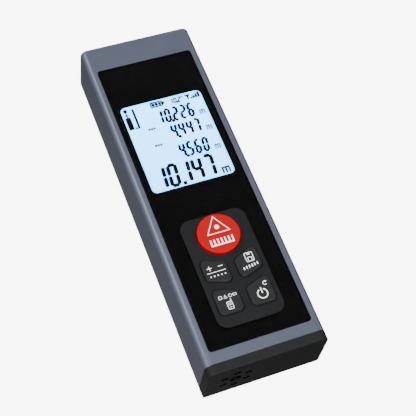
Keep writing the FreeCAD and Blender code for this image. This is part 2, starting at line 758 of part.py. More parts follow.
def make_receiver_lens():
    """Plano-convex lens that gathers the returning light."""
    seat = "frame_high - lens_seat"
    disc = cylinder("lens_disc", "lens_wide", "lens_thick", "lens_side", seat, "axis_high", "y")
    ball = DOC.addObject("Part::Sphere", "lens_ball")
    ball.setExpression("Radius", dims("lens_crown"))
    place(ball, "lens_side", f"{seat} + lens_thick - lens_crown", "axis_high")
    lens = DOC.addObject("Part::Common", "receiver_lens")
    lens.Label = "receiver_lens"
    lens.Base = disc
    lens.Tool = ball
    return lens


def make_receiver_board():
    """Small upright circuit board behind the tunnel."""
    front = "frame_low - frame_gap"
    return box("receiver_board",
               ("lens_side - sensor_board_half", f"{front} - sensor_board_thick", "sensor_board_low"),
               ("lens_side + sensor_board_half", front, "board_top - board_thick - frame_gap"))


def make_photodiode():
    """Light sensor can at the focus of the lens."""
    return cylinder("photodiode", "sensor_wide", "sensor_long", "lens_side", "frame_low - frame_gap",
                    "axis_high", "y")


def round_step(body, level, wide, long, toward, cut=False):
    """Add or cut one coaxial round step on the laser's axis."""
    sketch = draw_circle(new_sketch(body, "XZ", level, "laser_side", "axis_high"), wide)
    return (pocket if cut else pad)(body, sketch, "XZ", long, toward)


def make_laser_barrel():
    """Brass barrel that holds the diode and the collimating lens."""
    body = new_body("laser_barrel")
    front, back = "frame_high - barrel_inset", "frame_high - barrel_inset - barrel_long"
    round_step(body, back, "barrel_wide", "barrel_long", "+")
    bore_long = "barrel_long - mouth_deep - diode_seat"
    round_step(body, front, "barrel_mouth", "mouth_deep", "-", cut=True)
    round_step(body, f"{front} - mouth_deep", "barrel_bore", bore_long, "-", cut=True)
    round_step(body, back, "diode_wide + skin_gap", "diode_seat", "+", cut=True)
    return body


def make_collimator_lens():
    """Small lens in the mouth of the barrel."""
    body = new_body("collimator_lens")
    seat = "frame_high - barrel_inset - mouth_deep"
    round_step(body, seat, "barrel_mouth - skin_gap", "collimator_thick", "+")
    round_edges(body, "collimator_thick/3", edges_at("y", size(f"{seat} + collimator_thick")))
    return body


def make_laser_diode():
    """Laser diode can in the back of the barrel."""
    body = new_body("laser_diode")
    back = "frame_high - barrel_inset - barrel_long"
    round_step(body, back, "diode_wide", "diode_rim", "+")
    round_step(body, f"{back} + diode_rim", "barrel_bore - 2*skin_gap", "diode_can", "+")
    return body


def make_lens_bezel():
    """Black end plate with the laser aperture, the receiver aperture and a seat for the pane."""
    body = new_body("lens_bezel")
    thick = "bezel_high - bezel_low"
    plate = new_sketch(body, "XZ", "bezel_low", along="case_deep/2")
    draw_rectangle(plate, "case_wide - 2*wall - 2*skin_gap", "case_deep - 2*wall - 2*skin_gap")
    pad(body, plate, "XZ", thick, "+")
    seat = new_sketch(body, "XZ", "bezel_high", along="axis_high")
    draw_rectangle(seat, "2*pane_half + 2*skin_gap", "2*pane_high + 2*skin_gap")
    pocket(body, seat, "XZ", "pane_thick", "-")
    round_edges(body, "pane_round + skin_gap", seat_corner)
    cut_bezel_holes(body, "aperture_wide", [("laser_side", "axis_high")], thick)
    cut_bezel_holes(body, "lens_wide - lens_cover", [("lens_side", "axis_high")], thick)
    cut_bezel_holes(body, "screw_shank + screw_play", bezel_screw_spots(), thick)
    cut_bezel_holes(body, "screw_head + screw_play", bezel_screw_spots(), "head_sink")
    return body


def cut_bezel_holes(body, wide, spots, depth):
    """Round holes from the front of the bezel at spots given as x and z."""
    sketch = new_sketch(body, "XZ", "bezel_high")
    for x, z in spots:
        draw_circle(sketch, wide, x, z)
    pocket(body, sketch, "XZ", depth, "-")


def seat_corner(edge):
    """Test for the corners of the pane's seat in the bezel."""
    centre = edge.BoundBox.Center
    half = size("pane_half + skin_gap")
    return runs_along(edge, "y") and abs(abs(centre.x) - half) < 0.001


def bezel_screw_spots():
    """Formulas of the two screws at the ends of the bezel, as x and z."""
    return [("-bezel_screw_side", "axis_high"), ("bezel_screw_side", "axis_high")]


def make_bezel_screws():
    """Two screws that hold the bezel to the optics frame."""
    screws = []
    under_head = "bezel_high - head_sink"
    for x, z in bezel_screw_spots():
        head = cylinder("screw_head", "screw_head", "screw_head_thick", x, under_head, z, "y")
        stem = cylinder("screw_stem", "screw_shank", "bezel_screw_long + screw_head_thick/2", x,
                        f"{under_head} - bezel_screw_long", z, "y")
        screws.append(join("screw", head, stem))
    return group("bezel_screws", screws)


def make_optical_pane():
    """Clear pane over both apertures."""
    body = new_body("optical_pane")
    sketch = new_sketch(body, "XZ", "bezel_high - pane_thick", along="axis_high")
    draw_rectangle(sketch, "2*pane_half", "2*pane_high")
    pad(body, sketch, "XZ", "pane_thick", "+")
    round_edges(body, "pane_round", corner_edges("y"))
    return body


# ---------------------------------------------------------------- whole meter

def make_parts():
    """Every sub-part of the meter, in the order in which it would come off a bench."""
    plates = [("-plate_half", "-plate_split"), ("plate_split", "plate_half")]
    parts = [
        make_housing(), make_front_panel(), make_panel_mask(), make_end_cap(), make_battery_door(),
        make_display_glass(), make_backlight(), make_display_frame(), make_display_ribbon(),
        make_keypad_mat(), make_measure_button(), make_switch_domes(),
        make_main_board(), make_board_chips(), make_board_screws(),
        make_battery_tray(), *make_cells(),
        make_contacts("end_contacts", "bay_low", plates),
        make_contacts("bridge_contact", "bay_high - plate_thick", [("-plate_half", "plate_half")]),
        make_battery_springs(), make_buzzer(),
        make_optics_frame(), make_receiver_lens(), make_receiver_board(), make_photodiode(),
        make_laser_barrel(), make_collimator_lens(), make_laser_diode(),
        make_lens_bezel(), make_bezel_screws(), make_optical_pane(),
    ]
    for label, (side, row) in KEYS.items():
        parts.append(make_key(label, side, row))
    return parts


def check_document(parts):
    """Stop unless every object recomputed cleanly and every sub-part holds a valid solid."""
    for item in DOC.Objects:
        if "Invalid" in item.State or "Error" in item.State:
            raise RuntimeError(f"{item.Name} did not recompute: {item.State}")
    for part in parts:
        if part.Shape.isNull() or not part.Shape.isValid() or not part.Shape.Solids:
            raise RuntimeError(f"{part.Label} has no valid solid")


def main():
    parts = make_parts()
    DOC.recompute()
    check_document(parts)
    os.makedirs("parts", exist_ok=True)
    for part in parts:
        part.Shape.exportStep(f"parts/{part.Label}.step")
        print(f"{part.Label:18s} {len(part.Shape.Solids)} solids {part.Shape.Volume:10.2f} mm3")


main()
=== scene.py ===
"""Looks of the pocket laser distance meter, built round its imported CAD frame.

Units are metres in the row frame: the meter lies on its back, +Z comes out of its front face and +Y
points the way the laser leaves. Prints are drawn in millimetres: the
display's from a corner of its window, the button's from its middle and the keys' from the frame's origin.
"""

import math

import bmesh
import bpy
from mathutils import Matrix, Vector


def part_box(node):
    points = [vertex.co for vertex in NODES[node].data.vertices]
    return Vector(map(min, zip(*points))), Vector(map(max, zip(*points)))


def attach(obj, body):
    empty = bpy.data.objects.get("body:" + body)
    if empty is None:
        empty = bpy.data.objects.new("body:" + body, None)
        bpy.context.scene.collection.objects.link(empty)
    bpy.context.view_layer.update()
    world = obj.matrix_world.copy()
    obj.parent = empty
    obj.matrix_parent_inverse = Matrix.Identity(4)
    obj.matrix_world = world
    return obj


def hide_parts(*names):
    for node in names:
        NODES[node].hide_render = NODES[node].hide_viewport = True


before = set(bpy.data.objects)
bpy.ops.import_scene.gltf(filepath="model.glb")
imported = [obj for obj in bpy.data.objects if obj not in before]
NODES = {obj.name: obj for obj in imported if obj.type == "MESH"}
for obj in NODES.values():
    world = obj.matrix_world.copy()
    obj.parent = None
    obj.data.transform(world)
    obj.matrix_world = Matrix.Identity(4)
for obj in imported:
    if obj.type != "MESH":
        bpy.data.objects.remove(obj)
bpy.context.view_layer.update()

MM = 0.001
PRINT_THICK = 0.03 * MM

# the display's visible window and its backlight
VIEW_WIDE = 27.5 * MM
VIEW_LONG = 33.2 * MM
# width of the painted shade along the display window's edges
EDGE_SHADE = 1.1 * MM
LAMP_FALL = 9.0
LAMP_STRENGTH = 7.6

# ---------------------------------------------------------------- material building blocks


class Finish:
    """A node material with a Principled shader, and short ways to feed it."""

    def __init__(self, name, colour, roughness, **sockets):
        self.material = bpy.data.materials.new(name)
        self.material.use_nodes = True
        self.tree = self.material.node_tree
        self.shader = self.tree.nodes["Principled BSDF"]
        self.shader.inputs["Base Color"].default_value = (*colour, 1.0)
        self.shader.inputs["Roughness"].default_value = roughness
        for socket, value in sockets.items():
            self.shader.inputs[socket.replace("_", " ")].default_value = value
        self.place = self.tree.nodes.new("ShaderNodeTexCoord").outputs["Object"]

    def node(self, kind, **values):
        """A new node whose named inputs are set."""
        made = self.tree.nodes.new(kind)
        for socket, value in values.items():
            made.inputs[socket.replace("_", " ")].default_value = value
        return made

    def link(self, output, target):
        self.tree.links.new(output, target)

    def noise(self, pitch, detail=3.0, stretch=(1, 1, 1)):
        """Noise whose lumps are about one pitch wide, stretched along the axes if asked."""
        mapping = self.node("ShaderNodeMapping", Scale=stretch)
        self.link(self.place, mapping.inputs["Vector"])
        noise = self.node("ShaderNodeTexNoise", Scale=1.0 / pitch, Detail=detail, Roughness=0.55)
        self.link(mapping.outputs["Vector"], noise.inputs["Vector"])
        return noise.outputs["Fac"]

    def cells(self, pitch):
        """Distance to the nearest of many scattered points."""
        cells = self.node("ShaderNodeTexVoronoi", Scale=1.0 / pitch)
        self.link(self.place, cells.inputs["Vector"])
        return cells.outputs["Distance"]

    def spread(self, source, low, high):
        """Map a 0 to 1 pattern to the range low to high."""
        scale = self.node("ShaderNodeMapRange", To_Min=low, To_Max=high)
        self.link(source, scale.inputs["Value"])
        return scale.outputs["Result"]

    def tint(self, source, first, second):
        """Colour that runs from first to second with a pattern."""
        ramp = self.tree.nodes.new("ShaderNodeValToRGB")
        ramp.color_ramp.elements[0].position = 0.3
        ramp.color_ramp.elements[0].color = (*first, 1)
        ramp.color_ramp.elements[1].position = 0.7
        ramp.color_ramp.elements[1].color = (*second, 1)
        self.link(source, ramp.inputs["Fac"])
        self.link(ramp.outputs["Color"], self.shader.inputs["Base Color"])
        return ramp.outputs["Color"]

    def vary_roughness(self, source, low, high):
        self.link(self.spread(source, low, high), self.shader.inputs["Roughness"])

    def bump(self, source, height, under=None):
        """Bump of a given height in metres, over another bump if one is given."""
        bump = self.node("ShaderNodeBump", Strength=1.0, Distance=height)
        self.link(source, bump.inputs["Height"])
        if under is not None:
            self.link(under, bump.inputs["Normal"])
        self.link(bump.outputs["Normal"], self.shader.inputs["Normal"])
        return bump.outputs["Normal"]

    def colour_where(self, mask, colour, elsewhere):
        """Base colour that is one colour where a mask is one, and follows a socket elsewhere."""
        mix = self.tree.nodes.new("ShaderNodeMix")
        mix.data_type = "RGBA"
        sockets = {socket.identifier: socket for socket in [*mix.inputs, *mix.outputs]}
        sockets["B_Color"].default_value = (*colour, 1)
        self.link(mask, sockets["Factor_Float"])
        self.link(elsewhere, sockets["A_Color"])
        self.link(sockets["Result_Color"], self.shader.inputs["Base Color"])

    def separate(self):
        """The three coordinates of the surface point."""
        split = self.node("ShaderNodeSeparateXYZ")
        self.link(self.place, split.inputs["Vector"])
        return split.outputs

    def math(self, operation, first, second):
        """One arithmetic step on sockets or plain numbers."""
        made = self.tree.nodes.new("ShaderNodeMath")
        made.operation = operation
        for index, value in enumerate((first, second)):
            if isinstance(value, (int, float)):
                made.inputs[index].default_value = value
            else:
                self.link(value, made.inputs[index])
        return made.outputs["Value"]


# ---------------------------------------------------------------- materials

def case_metal():
    """Blue-grey anodised metal with a bead-blasted grain."""
    finish = Finish("case_metal", (0.172, 0.188, 0.264), 0.3, Metallic=0.45)
    tone = finish.noise(9 * MM, 2.0)
    finish.tint(tone, (0.165, 0.181, 0.254), (0.179, 0.196, 0.273))
    finish.vary_roughness(finish.noise(0.6 * MM, 4.0), 0.25, 0.35)
    blasted = finish.bump(finish.noise(0.09 * MM, 2.0), 0.003 * MM)
    finish.bump(finish.noise(0.45 * MM, 3.0), 0.004 * MM, blasted)
    return finish.material


def cap_plastic():
    """Black moulded plastic with a fine spark-eroded texture, and painted shade on the walls of its sound
    holes.
    """
    finish = Finish("cap_plastic", (0.015, 0.0155, 0.017), 0.55, Specular_IOR_Level=0.16)
    tone = finish.tint(finish.noise(6 * MM), (0.0165, 0.017, 0.018), (0.0195, 0.02, 0.021))
    # Painted shade: hole walls deeper than the end face, inside the sound-hole patch, are coloured near
    # black.
    low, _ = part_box("end_cap")
    depth = finish.math("SUBTRACT", finish.separate()["Y"], low.y)
    below_face = finish.math("GREATER_THAN", depth, 0.04 * MM)
    inside = finish.math("MULTIPLY", below_face, cap_hole_zone(finish))
    finish.colour_where(inside, (0.0008, 0.0008, 0.0008), tone)
    finish.vary_roughness(finish.noise(0.5 * MM), 0.46, 0.64)
    coarse = finish.bump(finish.cells(0.16 * MM), 0.01 * MM)
    finish.bump(finish.noise(0.08 * MM), 0.006 * MM, coarse)
    return finish.material


def cap_hole_zone(finish):
    """One within the round patch of sound holes, zero outside it; this marks where the cap's painted shade
    goes.
    """
    low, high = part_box("buzzer")
    middle = (low + high) / 2
    place = finish.separate()
    across = finish.math("SUBTRACT", place["X"], middle.x)
    up = finish.math("SUBTRACT", place["Z"], middle.z)
    spread = finish.math("ADD", finish.math("MULTIPLY", across, across), finish.math("MULTIPLY", up, up))
    reach = (high.x - low.x) / 2
    return finish.math("LESS_THAN", spread, reach * reach)


def clear_cover():
    """Polished clear acrylic."""
    finish = Finish("clear_cover", (0.97, 0.98, 1.0), 0.02, Transmission_Weight=1.0, IOR=1.49)
    finish.vary_roughness(finish.noise(14 * MM, 2.0), 0.012, 0.03)
    return finish.material


def panel_print():
    """Black ink on the back of the cover."""
    finish = Finish("panel_print", (0.003, 0.003, 0.0031), 0.8, Specular_IOR_Level=0.0)
    finish.tint(finish.noise(5 * MM), (0.0028, 0.0028, 0.0029), (0.0032, 0.0032, 0.0033))
    finish.vary_roughness(finish.noise(0.8 * MM), 0.75, 0.85)
    return finish.material


def display_face():
    """Backlit liquid crystal glass: pale blue, a little brighter at the lamp end, with painted shade dimming
    it towards the window's edges.
    """
    finish = Finish("display_face", (0.45, 0.58, 0.68), 0.35)
    low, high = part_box("display_glass")
    mapping = finish.node("ShaderNodeMapping", Location=-(low + high) / 2)
    finish.link(finish.place, mapping.inputs["Vector"])
    split = finish.node("ShaderNodeSeparateXYZ")
    finish.link(mapping.outputs["Vector"], split.inputs["Vector"])
    # Painted shade: the glow drops off near the window's edges.
    edges = []
    for axis, wide in (("X", VIEW_WIDE), ("Y", VIEW_LONG)):
        inset = finish.math("SUBTRACT", wide / 2, finish.math("ABSOLUTE", split.outputs[axis], 0.0))
        edges.append(finish.math("DIVIDE", inset, EDGE_SHADE))
    near = finish.math("MINIMUM", finish.math("MINIMUM", edges[0], edges[1]), 1.0)
    along = finish.math("DIVIDE", split.outputs["Y"], VIEW_LONG * LAMP_FALL)
    glow = finish.math("ADD", finish.spread(near, 0.78, 0.96), along)
    grain = finish.spread(finish.noise(2.5 * MM), -0.012, 0.012)
    strength = finish.math("MULTIPLY", finish.math("ADD", glow, grain), LAMP_STRENGTH)
    finish.shader.inputs["Emission Color"].default_value = (0.09, 0.46, 0.95, 1)
    finish.link(strength, finish.shader.inputs["Emission Strength"])
    return finish.material


def display_ink():
    """Dark, switched-on segments of the display."""
    finish = Finish("display_ink", (0.003, 0.0035, 0.004), 0.5, Specular_IOR_Level=0.2)
    finish.tint(finish.noise(1.5 * MM), (0.0025, 0.003, 0.0035), (0.004, 0.005, 0.006))
    return finish.material


def display_small_ink():
    """Ink of the display's small marks, a little lighter than the figures'."""
    finish = Finish("display_faint_ink", (0.008, 0.01, 0.012), 0.5, Specular_IOR_Level=0.2)
    finish.tint(finish.noise(1.5 * MM), (0.007, 0.009, 0.011), (0.01, 0.012, 0.014))
    return finish.material


def soft_rubber(name, dark, light):
    """Silicone rubber: two close tones, a dull sheen and a fine grain."""
    finish = Finish(name, dark, 0.6, Specular_IOR_Level=0.15)
    finish.tint(finish.noise(4 * MM), dark, light)
    finish.vary_roughness(finish.noise(0.7 * MM), 0.52, 0.68)
    finish.bump(finish.noise(0.12 * MM, 2.0), 0.004 * MM)
    return finish.material


def mark_white_glowing():
    """White screen-printed ink with slightly uneven cover, and a painted glow that makes it brighter than the
    lamps alone would.
    """
    finish = Finish("mark_white_glowing", (0.86, 0.86, 0.86), 0.5)
    finish.tint(finish.noise(0.8 * MM), (0.86, 0.86, 0.86), (0.92, 0.92, 0.92))
    # Painted light: the ink glows a little, though it is no lamp.
    finish.shader.inputs["Emission Color"].default_value = (1, 1, 1, 1)
    finish.shader.inputs["Emission Strength"].default_value = 1.1
    finish.bump(finish.noise(0.15 * MM), 0.003 * MM)
    return finish.material


def black_plastic(name, level, roughness):
    """Plain dark engineering plastic for the inside."""
    finish = Finish(name, (level, level, level * 1.05), roughness)
    finish.tint(finish.noise(3 * MM), (level * 0.85,) * 3, (level * 1.2,) * 3)
    finish.vary_roughness(finish.noise(0.5 * MM), roughness - 0.08, roughness + 0.08)
    finish.bump(finish.noise(0.1 * MM), 0.006 * MM)
    return finish.material


def bright_metal(name, first, second, roughness, along):
    """Plated or turned metal with fine lines along one direction."""
    finish = Finish(name, first, roughness, Metallic=1.0)
    lines = finish.noise(1.5 * MM, 3.0, along)
    finish.tint(lines, first, second)
    finish.vary_roughness(lines, roughness - 0.06, roughness + 0.1)
    finish.bump(lines, 0.004 * MM)
    return finish.material


def board_green():
    """Circuit board with solder mask over copper tracks."""
    finish = Finish("board_green", (0.01, 0.11, 0.05), 0.35)
    finish.tint(finish.cells(2.2 * MM), (0.008, 0.085, 0.038), (0.02, 0.17, 0.08))
    finish.bump(finish.cells(2.2 * MM), 0.02 * MM)
    finish.vary_roughness(finish.noise(0.6 * MM), 0.25, 0.42)
    return finish.material


def cell_sleeve():
    """Printed shrink sleeve of a battery cell: dark, with a copper band towards +Y."""
    finish = Finish("cell_sleeve", (0.02, 0.022, 0.03), 0.28, Metallic=0.3)
    low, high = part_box("battery_left")
    reach = finish.node("ShaderNodeMapRange", From_Min=low.y, From_Max=high.y)
    finish.link(finish.separate()["Y"], reach.inputs["Value"])
    band = finish.tree.nodes.new("ShaderNodeValToRGB")
    band.color_ramp.interpolation = "CONSTANT"
    band.color_ramp.elements[0].color = (0.02, 0.022, 0.03, 1)
    band.color_ramp.elements[1].color = (0.55, 0.28, 0.12, 1)
    band.color_ramp.elements[1].position = 0.78
    finish.link(reach.outputs["Result"], band.inputs["Fac"])
    finish.link(band.outputs["Color"], finish.shader.inputs["Base Color"])
    finish.vary_roughness(finish.noise(3 * MM), 0.22, 0.36)
    finish.bump(finish.noise(1.2 * MM), 0.01 * MM)
    return finish.material


def lens_glass(name, colour, roughness):
    """Coated optical glass."""
    finish = Finish(name, colour, roughness, Transmission_Weight=1.0, IOR=1.52, Coat_Weight=0.4)
    finish.vary_roughness(finish.noise(4 * MM), roughness, roughness + 0.02)
    return finish.material


def amber_film():
    """Polyimide ribbon with copper lines along it."""
    finish = Finish("amber_film", (0.42, 0.17, 0.03), 0.3)
    lines = finish.noise(0.5 * MM, 1.0, (1, 0.02, 1))
    finish.tint(lines, (0.32, 0.12, 0.02), (0.5, 0.22, 0.05))
    finish.bump(lines, 0.01 * MM)
    return finish.material


def milky_acrylic():
    """Light guide behind the display."""
    finish = Finish("milky_acrylic", (0.82, 0.88, 0.94), 0.3)
    finish.tint(finish.noise(3 * MM), (0.78, 0.85, 0.92), (0.86, 0.91, 0.96))
    finish.shader.inputs["Emission Color"].default_value = (0.6, 0.78, 0.95, 1)
    finish.shader.inputs["Emission Strength"].default_value = 0.6
    return finish.material


# ---------------------------------------------------------------- mesh helpers

def make_piece(name, mesh, body, material):
    """Put a mesh on a CAD body, with its material."""
    piece = bpy.data.objects.new(name, mesh)
    bpy.context.scene.collection.objects.link(piece)
    if not mesh.materials:
        mesh.materials.append(material)
    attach(piece, body)
    return piece


def add_prism(work, outline, low, high):
    """Closed prism over a counter-clockwise plan outline."""
    foot = [work.verts.new((x, y, low)) for x, y in outline]
    top = [work.verts.new((x, y, high)) for x, y in outline]
    work.faces.new(top)
    work.faces.new(foot[::-1])
    count = len(outline)
    for index in range(count):
        following = (index + 1) % count
        work.faces.new((foot[index], foot[following], top[following], top[index]))


def add_band(work, outer, inner, low, high, closed=True):
    """Closed ring or open strip between two matching outlines."""
    count = len(outer)
    rows = [[work.verts.new((x, y, level)) for x, y in line]
            for line, level in ((outer, low), (outer, high), (inner, high), (inner, low))]
    steps = count if closed else count - 1
    for index in range(steps):
        following = (index + 1) % count
        for row in range(4):
            near, far = rows[row], rows[(row + 1) % 4]
            work.faces.new((near[index], near[following], far[following], far[index]))
    if not closed:
        work.faces.new([row[0] for row in rows])
        work.faces.new([row[-1] for row in rows][::-1])


def circle_points(x, y, radius, start=0.0, sweep=360.0, steps=32):
    """Points of an arc, counter-clockwise from start degrees."""
    full = abs(sweep) >= 360.0
    count = steps if full else steps + 1
    angles = [math.radians(start + sweep * index / steps) for index in range(count)]
    return [(x + radius * math.cos(angle), y + radius * math.sin(angle)) for angle in angles]


def rounded_box_points(x, y, wide, high, radius, steps=6):
    """Counter-clockwise outline of a rectangle with rounded corners, centred on a point."""
    points = []
    spots = ((1, 1, 0), (-1, 1, 90), (-1, -1, 180), (1, -1, 270))
    for right, up, start in spots:
        corner_x = x + right * (wide / 2 - radius)
        corner_y = y + up * (high / 2 - radius)
        points += circle_points(corner_x, corner_y, radius, start, 90, steps)
    return points


def stroke_points(first, second, wide):
    """Outline of a straight stroke with round ends."""
    along = Vector(second) - Vector(first)
    heading = math.degrees(math.atan2(along.y, along.x))
    return (circle_points(second[0], second[1], wide / 2, heading - 90, 180, 8)
            + circle_points(first[0], first[1], wide / 2, heading + 90, 180, 8))


def finish_mesh(work, name, smooth=False):
    """Turn a bmesh into a mesh with outward normals."""
    bmesh.ops.recalc_face_normals(work, faces=work.faces)
    mesh = bpy.data.meshes.new(name)
    work.to_mesh(mesh)
    work.free()
    if smooth:
        mesh.shade_smooth()
    return mesh


class Print:
    """Thin printed marks on a flat face of a body, drawn in millimetres from a point on that face."""

    def __init__(self, body, slot, material, origin):
        self.body, self.slot, self.material = body, slot, material
        self.across, self.along, self.low = origin
        self.work = bmesh.new()

    def placed(self, outline):
        """The outline's points in metres, where they go on the meter."""
        return [(self.across + x * MM, self.along + y * MM) for x, y in outline]

    def shape(self, outline):
        add_prism(self.work, self.placed(outline), self.low, self.low + PRINT_THICK)

    def band(self, outer, inner, closed=True):
        add_band(self.work, self.placed(outer), self.placed(inner), self.low, self.low + PRINT_THICK, closed)

    def stroke(self, first, second, wide):
        self.shape(stroke_points(first, second, wide))

    def dot(self, x, y, radius):
        self.shape(circle_points(x, y, radius, steps=20))

    def box(self, x, y, wide, high, radius=0.05):
        self.shape(rounded_box_points(x, y, wide, high, radius, 3))

    def frame_box(self, x, y, wide, high, line, radius=0.2):
        outer = rounded_box_points(x, y, wide, high, radius)
        self.band(outer, rounded_box_points(x, y, wide - 2 * line, high - 2 * line, max(radius - line, 0.02)))

    def arc(self, x, y, radius, line, start=0.0, sweep=360.0):
        closed = sweep >= 360.0
        outer = circle_points(x, y, radius + line / 2, start, sweep, 40)
        self.band(outer, circle_points(x, y, radius - line / 2, start, sweep, 40), closed)
        if not closed:
            for angle in (start, start + sweep):
                turn = math.radians(angle)
                self.dot(x + radius * math.cos(turn), y + radius * math.sin(turn), line / 2)

    def outline(self, corners, line):
        """Closed mitred outline of a convex polygon, drawn inside its corners."""
        centre = Vector((sum(x for x, _ in corners), sum(y for _, y in corners))) / len(corners)
        inner = inset_polygon(corners, line)
        if (Vector(inner[0]) - centre).length > (Vector(corners[0]) - centre).length:
            inner = inset_polygon(corners, -line)
        self.band(corners, inner)

    def piece(self, name):
        """Close the print and put it on its body."""
        return make_piece(name, finish_mesh(self.work, name), self.body, self.material)

    def row(self, name, tree, count, start, step, wide, high):
        """A row of equal marks from a node tree, as a piece of its own."""
        [(x, y)] = self.placed([start])
        values = {
            "Wide": wide * MM, "High": high * MM, "Thick": PRINT_THICK, "Count": count,
            "Start": (x, y, self.low + PRINT_THICK / 2),
            "Step": (step[0] * MM, step[1] * MM, 0.0), "Ink": self.material,
        }
        return make_piece(name, grown_mesh(tree, name, values), self.body, self.material)


def inset_polygon(corners, distance):
    """Corners of a polygon whose sides are moved sideways by a distance."""
    moved = []
    count = len(corners)
    for index in range(count):
        before, here, after = (Vector(corners[(index + step) % count]) for step in (-1, 0, 1))
        first, second = (here - before).normalized(), (after - here).normalized()
        normal = Vector((-first.y, first.x)) + Vector((-second.y, second.x))
        bisector = normal.normalized()
        reach = distance / max(bisector.dot(Vector((-first.y, first.x))), 0.2)
        moved.append(tuple(here + bisector * reach))
    return moved


# ---------------------------------------------------------------- geometry nodes for what repeats

def row_tree(name, shape):
    """Node tree: a row of equal flat dots or bars, with sizes as named inputs."""
    tree = bpy.data.node_groups.new(name, "GeometryNodeTree")
    face = tree.interface
    face.new_socket("Geometry", in_out="INPUT", socket_type="NodeSocketGeometry")
    face.new_socket("Geometry", in_out="OUTPUT", socket_type="NodeSocketGeometry")
    for label in ("Wide", "High", "Thick"):
        face.new_socket(label, in_out="INPUT", socket_type="NodeSocketFloat")
    face.new_socket("Count", in_out="INPUT", socket_type="NodeSocketInt")
    for label in ("Start", "Step"):
        face.new_socket(label, in_out="INPUT", socket_type="NodeSocketVector")
    face.new_socket("Ink", in_out="INPUT", socket_type="NodeSocketMaterial")
    make, link = tree.nodes.new, tree.links.new
    given, result = make("NodeGroupInput").outputs, make("NodeGroupOutput")
    line = make("GeometryNodeMeshLine")
    line.mode = "OFFSET"
    link(given["Count"], line.inputs["Count"])
    link(given["Start"], line.inputs["Start Location"])
    link(given["Step"], line.inputs["Offset"])
    spread = make("GeometryNodeInstanceOnPoints")
    link(line.outputs["Mesh"], spread.inputs["Points"])
    if shape == "dot":
        mark = make("GeometryNodeMeshCylinder")
        mark.inputs["Vertices"].default_value = 16
        half = make("ShaderNodeMath")
        half.operation = "MULTIPLY"
        half.inputs[1].default_value = 0.5
        link(given["Wide"], half.inputs[0])
        link(half.outputs["Value"], mark.inputs["Radius"])
        link(given["Thick"], mark.inputs["Depth"])
    else:
        mark = make("GeometryNodeMeshCube")
        size = make("ShaderNodeCombineXYZ")
        for axis, label in zip("XYZ", ("Wide", "High", "Thick")):
            link(given[label], size.inputs[axis])
        link(size.outputs["Vector"], mark.inputs["Size"])
    link(mark.outputs["Mesh"], spread.inputs["Instance"])
    real = make("GeometryNodeRealizeInstances")
    link(spread.outputs["Instances"], real.inputs["Geometry"])
    ink = make("GeometryNodeSetMaterial")
    link(real.outputs["Geometry"], ink.inputs["Geometry"])
    link(given["Ink"], ink.inputs["Material"])
    link(ink.outputs["Geometry"], result.inputs["Geometry"])
    return tree


def grown_mesh(tree, name, values):
    """Plain mesh that a node tree makes from named input values."""
    holder = bpy.data.objects.new(name, bpy.data.meshes.new(name))
    bpy.context.scene.collection.objects.link(holder)
    modifier = holder.modifiers.new("grow", "NODES")
    modifier.node_group = tree
    sockets = {item.name: item.identifier for item in tree.interface.items_tree if item.in_out == "INPUT"}
    for label, value in values.items():
        modifier[sockets[label]] = value
    bpy.context.view_layer.update()
    ready = holder.evaluated_get(bpy.context.evaluated_depsgraph_get())
    mesh = bpy.data.meshes.new_from_object(ready)
    mesh.name = name
    bpy.data.objects.remove(holder)
    return mesh


# ---------------------------------------------------------------- display contents

SEGMENTS = {
    "0": "abcdef", "1": "bc", "2": "abged", "3": "abgcd", "4": "fgbc", "5": "afgcd",
    "6": "afgedc", "7": "abc", "8": "abcdefg", "9": "abcdfg",
}

# figures, in millimetres: stroke centre to stroke centre, height, step to the next figure, stroke
SMALL_FIGURE = {"wide": 1.32, "high": 4.7, "pitch": 2.62, "line": 0.92}
LARGE_FIGURE = {"wide": 2.4, "high": 7.4, "pitch": 4.04, "line": 1.28}
TINY_FIGURE = {"wide": 0.72, "high": 1.75, "pitch": 1.38, "line": 0.54}
FIGURE_LEAN = 0.09
POINT_SIZE = 1.15

# how far below the window's top edge each reading's foot lies, and the right edge of the small ones
READINGS = (("10.226", 9.0), ("4.447", 15.3), ("4.560", 22.9))
READING_RIGHT = 22.5
MAIN_RIGHT = 21.3
MAIN_FOOT = 32.1

# unit marks: drop to the foot, left edge, tooth step, stroke, height
UNIT_COMBS = (
    (9.3, 24.8, 0.74, 0.42, 1.8),
    (15.7, 24.8, 0.74, 0.42, 1.8),
    (23.2, 24.8, 0.74, 0.42, 1.8),
    (32.5, 23.9, 1.08, 0.64, 2.4),
)


def display_print(material):
    """A print on the display glass, drawn from the top left corner of its visible window."""
    low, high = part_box("display_glass")
    middle = (low + high) / 2
    corner = (middle.x - VIEW_WIDE / 2, middle.y + VIEW_LONG / 2, high.z)
    return Print("case", "display", material, corner)


def segment_outline(key, wide, high, line):
    """Plan outline of one segment of an upright digit whose lower left corner is the origin."""
    half = high / 2
    gap = line * 0.02
    spots = {
        "a": ((0, high), (wide, high)), "g": ((0, half), (wide, half)), "d": ((0, 0), (wide, 0)),
        "f": ((0, half), (0, high)), "b": ((wide, half), (wide, high)),
        "e": ((0, 0), (0, half)), "c": ((wide, 0), (wide, half)),
    }
    (x0, y0), (x1, y1) = spots[key]
    side, point = line / 2, line * 0.3
    if y0 == y1:
        x0, x1 = x0 + gap, x1 - gap
        return [(x0, y0), (x0 + point, y0 - side), (x1 - point, y0 - side), (x1, y0),
                (x1 - point, y0 + side), (x0 + point, y0 + side)]
    y0, y1 = y0 + gap, y1 - gap
    return [(x0, y0), (x0 + side, y0 + point), (x0 + side, y1 - point), (x0, y1),
            (x0 - side, y1 - point), (x0 - side, y0 + point)]


